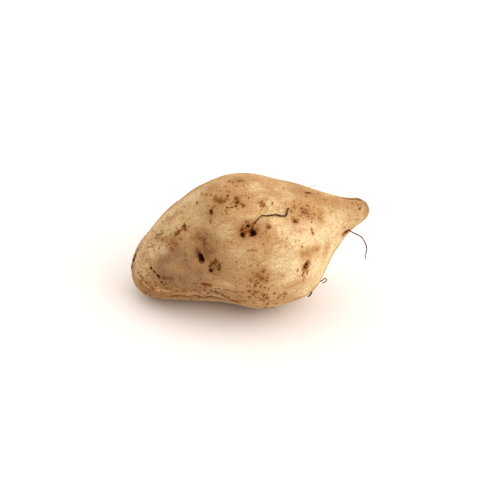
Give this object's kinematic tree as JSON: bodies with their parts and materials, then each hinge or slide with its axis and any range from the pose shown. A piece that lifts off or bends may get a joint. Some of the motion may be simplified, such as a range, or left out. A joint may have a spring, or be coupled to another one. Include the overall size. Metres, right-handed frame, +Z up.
{
  "type": "sweet potato",
  "caption": "Plump spindle-shaped sweet potato with pale skin, a tapered upturned tail, small dark pits and dry rootlets, lying on its belly.",
  "frame": {"origin": "centre of the bounding box's bottom face, on the floor that the root lies on", "axes": "+X along the root from the blunt stem end to the lifted tail, front flank towards -Y, +Z up"},
  "size_m": [0.1326, 0.078, 0.074],
  "materials": {
    "skin": "dull, dry, pale tan skin with brown stains and dark pits"
  },
  "bodies": {
    "root": {"sweet_potato": "skin"}
  },
  "joints": []
}
